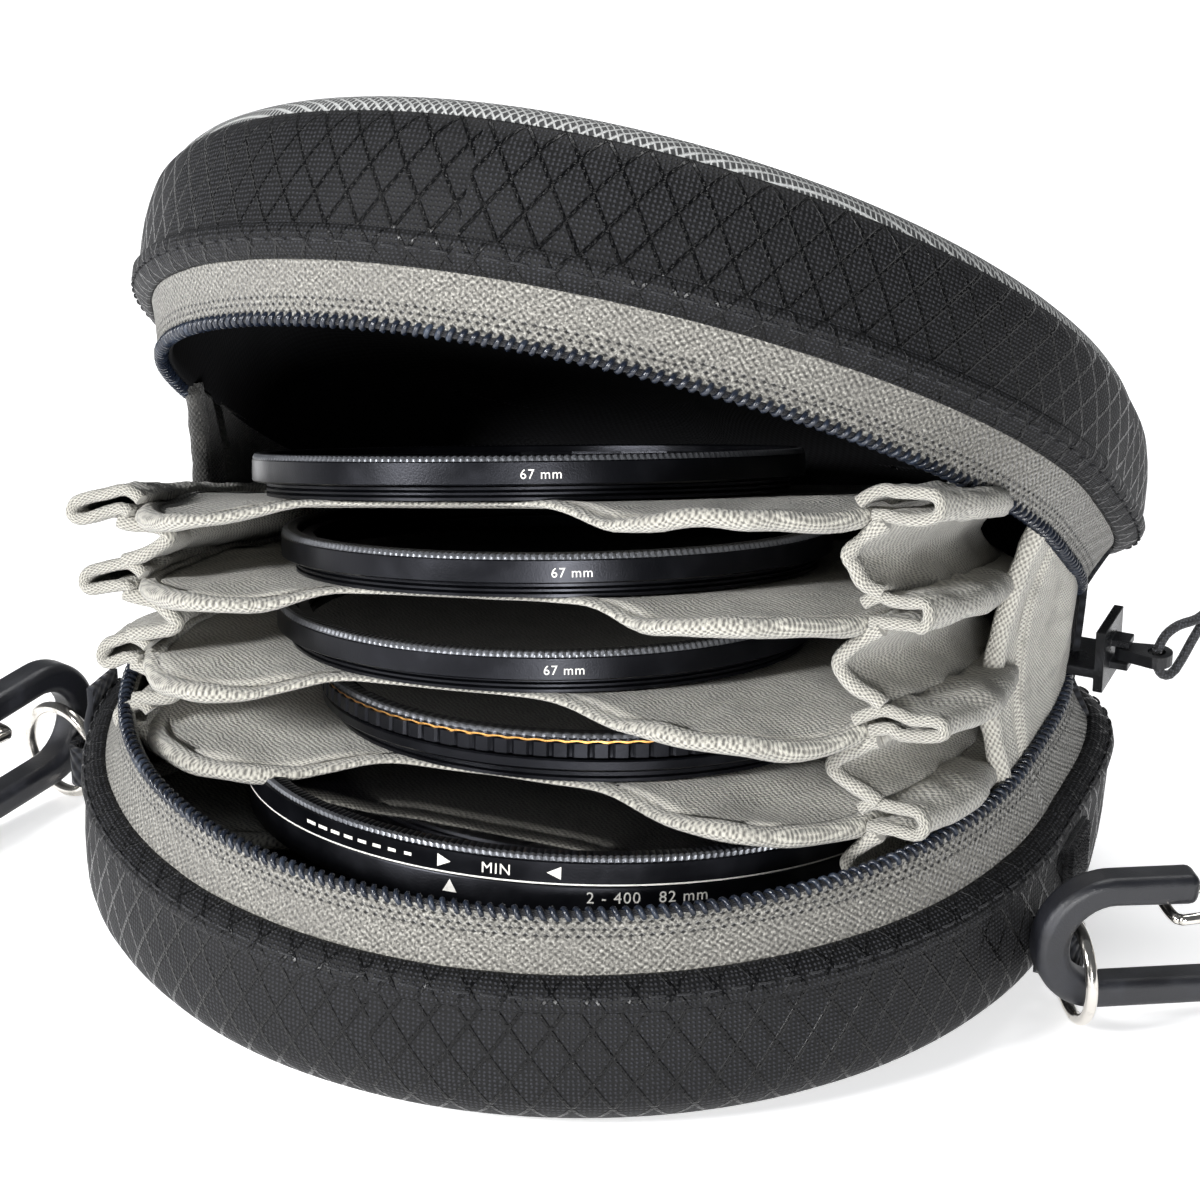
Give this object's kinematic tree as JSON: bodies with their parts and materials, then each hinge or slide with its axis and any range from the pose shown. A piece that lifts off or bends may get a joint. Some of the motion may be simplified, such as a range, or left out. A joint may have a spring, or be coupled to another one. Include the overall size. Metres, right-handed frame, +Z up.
{
  "type": "lens filter case",
  "caption": "Round zip case, standing open, with hinged cloth sheets that carry screw-in lens filters, a zip pull on a cord, and clips at both sides.",
  "frame": {"origin": "on the flat underside, at the centre of the round front", "axes": "+Z up, the case opens towards -Y, the spine is at +Y, +X is the side with the zip slider"},
  "size_m": [0.2047, 0.1262, 0.1115],
  "materials": {
    "ripstop": "woven ripstop, charcoal",
    "hem_fabric": "plain weave, folded and sewn",
    "air_mesh": "knitted spacer mesh",
    "zip_tape": "ribbed woven tape",
    "zip_coil": "moulded nylon coil",
    "grey_canvas": "brushed canvas",
    "black_lining": "matte lining",
    "black_webbing": "woven webbing and cord",
    "anodised_black": "black anodised, fine satin",
    "smoked_glass": "polished, dark",
    "moulded_black": "moulded, fine grain",
    "polished_steel": "polished nickel plate"
  },
  "bodies": {
    "base": {"base_panel": "air_mesh", "base_band": "ripstop", "base_hem": "hem_fabric", "base_zip_tape": "zip_tape", "base_zip_coil": "zip_coil", "base_hinge_strip": "hem_fabric", "base_liner": "grey_canvas", "accordion_spine": "grey_canvas", "hook_patch": "black_webbing", "webbing_tab_left": "black_webbing", "webbing_tab_right": "black_webbing", "side_gusset_left": "grey_canvas", "side_gusset_right": "grey_canvas"},
    "lid": {"lid_panel": "air_mesh", "lid_band": "ripstop", "lid_hem": "hem_fabric", "lid_zip_tape": "zip_tape", "lid_zip_coil": "zip_coil", "lid_hinge_strip": "hem_fabric", "lid_liner": "black_lining"},
    "sheet_1": {"divider_1": "grey_canvas", "bellows_left_1": "grey_canvas", "bellows_right_1": "grey_canvas"},
    "sheet_2": {"divider_2": "grey_canvas", "bellows_left_2": "grey_canvas", "bellows_right_2": "grey_canvas"},
    "sheet_3": {"divider_3": "grey_canvas", "bellows_left_3": "grey_canvas", "bellows_right_3": "grey_canvas"},
    "sheet_4": {"divider_4": "grey_canvas", "bellows_left_4": "grey_canvas", "bellows_right_4": "grey_canvas"},
    "sheet_5": {"divider_5": "grey_canvas", "density_rear_ring": "anodised_black"},
    "diffuser_1": {"diffuser_1_ring": "anodised_black", "diffuser_1_glass": "smoked_glass", "diffuser_1_retainer": "anodised_black"},
    "diffuser_2": {"diffuser_2_ring": "anodised_black", "diffuser_2_glass": "smoked_glass", "diffuser_2_retainer": "anodised_black"},
    "diffuser_3": {"diffuser_3_ring": "anodised_black", "diffuser_3_glass": "smoked_glass", "diffuser_3_retainer": "anodised_black"},
    "polariser": {"polariser_rear_ring": "anodised_black"},
    "polariser_front": {"polariser_front_ring": "anodised_black", "polariser_glass": "smoked_glass"},
    "density_front": {"density_front_ring": "anodised_black", "density_glass": "smoked_glass"},
    "slider": {"zip_slider": "moulded_black"},
    "pull": {"zip_pull_tab": "moulded_black", "pull_cord": "black_webbing", "pull_grip": "moulded_black"},
    "ring_right": {"ring_right": "polished_steel"},
    "ring_left": {"ring_left": "polished_steel"},
    "carabiner_right": {"carabiner_right": "moulded_black"},
    "carabiner_left": {"carabiner_left": "moulded_black"},
    "gate_right": {"gate_right": "polished_steel"},
    "gate_left": {"gate_left": "polished_steel"}
  },
  "joints": [
    {"name": "lid_hinge", "type": "hinge", "parent": "base", "child": "lid", "pos_m": [0, 0.041, 0.028], "axis": [-1, 0, 0], "range_deg": [-37, 8], "deforming": ["side_gusset_left", "side_gusset_right"]},
    {"name": "sheet_5_hinge", "type": "hinge", "parent": "base", "child": "sheet_5", "pos_m": [-0.016, 0.0359, 0.0052], "axis": [-0.9781, -0.2079, 0], "range_deg": [-9.51, 2.06]},
    {"name": "sheet_4_hinge", "type": "hinge", "parent": "base", "child": "sheet_4", "pos_m": [-0.016, 0.0359, 0.0154], "axis": [-0.9511, -0.309, 0], "range_deg": [-11.01, 2.38], "deforming": ["bellows_left_4", "bellows_right_4"]},
    {"name": "sheet_3_hinge", "type": "hinge", "parent": "base", "child": "sheet_3", "pos_m": [-0.016, 0.0359, 0.0233], "axis": [-0.9272, -0.3746, 0], "range_deg": [-13.51, 2.92], "deforming": ["bellows_left_3", "bellows_right_3"]},
    {"name": "sheet_2_hinge", "type": "hinge", "parent": "base", "child": "sheet_2", "pos_m": [-0.016, 0.0359, 0.0301], "axis": [-0.9135, -0.4067, 0], "range_deg": [-18.01, 3.9], "deforming": ["bellows_left_2", "bellows_right_2"]},
    {"name": "sheet_1_hinge", "type": "hinge", "parent": "base", "child": "sheet_1", "pos_m": [-0.016, 0.0359, 0.0369], "axis": [-0.9135, -0.4067, 0], "range_deg": [-22.01, 4.76], "deforming": ["bellows_left_1", "bellows_right_1"]},
    {"name": "diffuser_1_slide", "type": "slide", "parent": "sheet_1", "child": "diffuser_1", "axis": [-0.0271, -0.9392, 0.3422], "range_m": [0, 0.06]},
    {"name": "diffuser_2_slide", "type": "slide", "parent": "sheet_2", "child": "diffuser_2", "axis": [-0.0182, -0.9592, 0.2823], "range_m": [0, 0.06]},
    {"name": "diffuser_3_slide", "type": "slide", "parent": "sheet_3", "child": "diffuser_3", "axis": [-0.0096, -0.9762, 0.2164], "range_m": [0, 0.06]},
    {"name": "polariser_slide", "type": "slide", "parent": "sheet_4", "child": "polariser", "axis": [-0.0054, -0.9834, 0.1815], "range_m": [0, 0.06]},
    {"name": "polariser_turn", "type": "hinge", "parent": "polariser", "child": "polariser_front", "pos_m": [0.0017, -0.00088, 0.02438], "axis": [-0.059, 0.1815, 0.9816], "continuous": true},
    {"name": "density_turn", "type": "hinge", "parent": "sheet_5", "child": "density_front", "pos_m": [0.00382, -0.00936, 0.01441], "axis": [-0.0343, 0.1614, 0.9863], "range_deg": [0, 90]},
    {"name": "zip_slide", "type": "slide", "parent": "base", "child": "slider", "axis": [0, -1, 0], "range_m": [0, 0.02]},
    {"name": "pull_tab_turn", "type": "hinge", "parent": "slider", "child": "pull", "pos_m": [0.0645, 0.028, 0.0307], "axis": [0, 0, 1], "range_deg": [-60, 30]},
    {"name": "ring_right_turn", "type": "hinge", "parent": "base", "child": "ring_right", "pos_m": [0.06715, -0.0085, 0.0075], "axis": [0, 0, 1], "range_deg": [0, 40]},
    {"name": "carabiner_right_swing", "type": "hinge", "parent": "ring_right", "child": "carabiner_right", "pos_m": [0.07069, -0.01359, 0.0075], "axis": [0.5707, -0.8212, 0], "range_deg": [0, 35]},
    {"name": "gate_right_push", "type": "hinge", "parent": "carabiner_right", "child": "gate_right", "pos_m": [0.10484, 0.00893, 0.01631], "axis": [0.5707, -0.8212, 0], "range_deg": [0, 15], "stiffness_Nm_per_rad": 0.004, "springref_deg": -11.46},
    {"name": "ring_left_turn", "type": "hinge", "parent": "base", "child": "ring_left", "pos_m": [-0.06715, -0.0122, 0.0075], "axis": [0, 0, 1], "range_deg": [-40, 20]},
    {"name": "carabiner_left_swing", "type": "hinge", "parent": "ring_left", "child": "carabiner_left", "pos_m": [-0.07314, -0.0106, 0.0075], "axis": [-0.9659, 0.2588, 0], "range_deg": [0, 35]},
    {"name": "gate_left_push", "type": "hinge", "parent": "carabiner_left", "child": "gate_left", "pos_m": [-0.08469, -0.04984, 0.01631], "axis": [-0.9659, 0.2588, 0], "range_deg": [0, 15], "stiffness_Nm_per_rad": 0.004, "springref_deg": -11.46}
  ],
  "couplings": [
    {"joint": "sheet_5_hinge", "follows": "lid_hinge", "ratio": 0.2568},
    {"joint": "sheet_4_hinge", "follows": "lid_hinge", "ratio": 0.2973},
    {"joint": "sheet_3_hinge", "follows": "lid_hinge", "ratio": 0.3649},
    {"joint": "sheet_2_hinge", "follows": "lid_hinge", "ratio": 0.4865},
    {"joint": "sheet_1_hinge", "follows": "lid_hinge", "ratio": 0.5946}
  ]
}
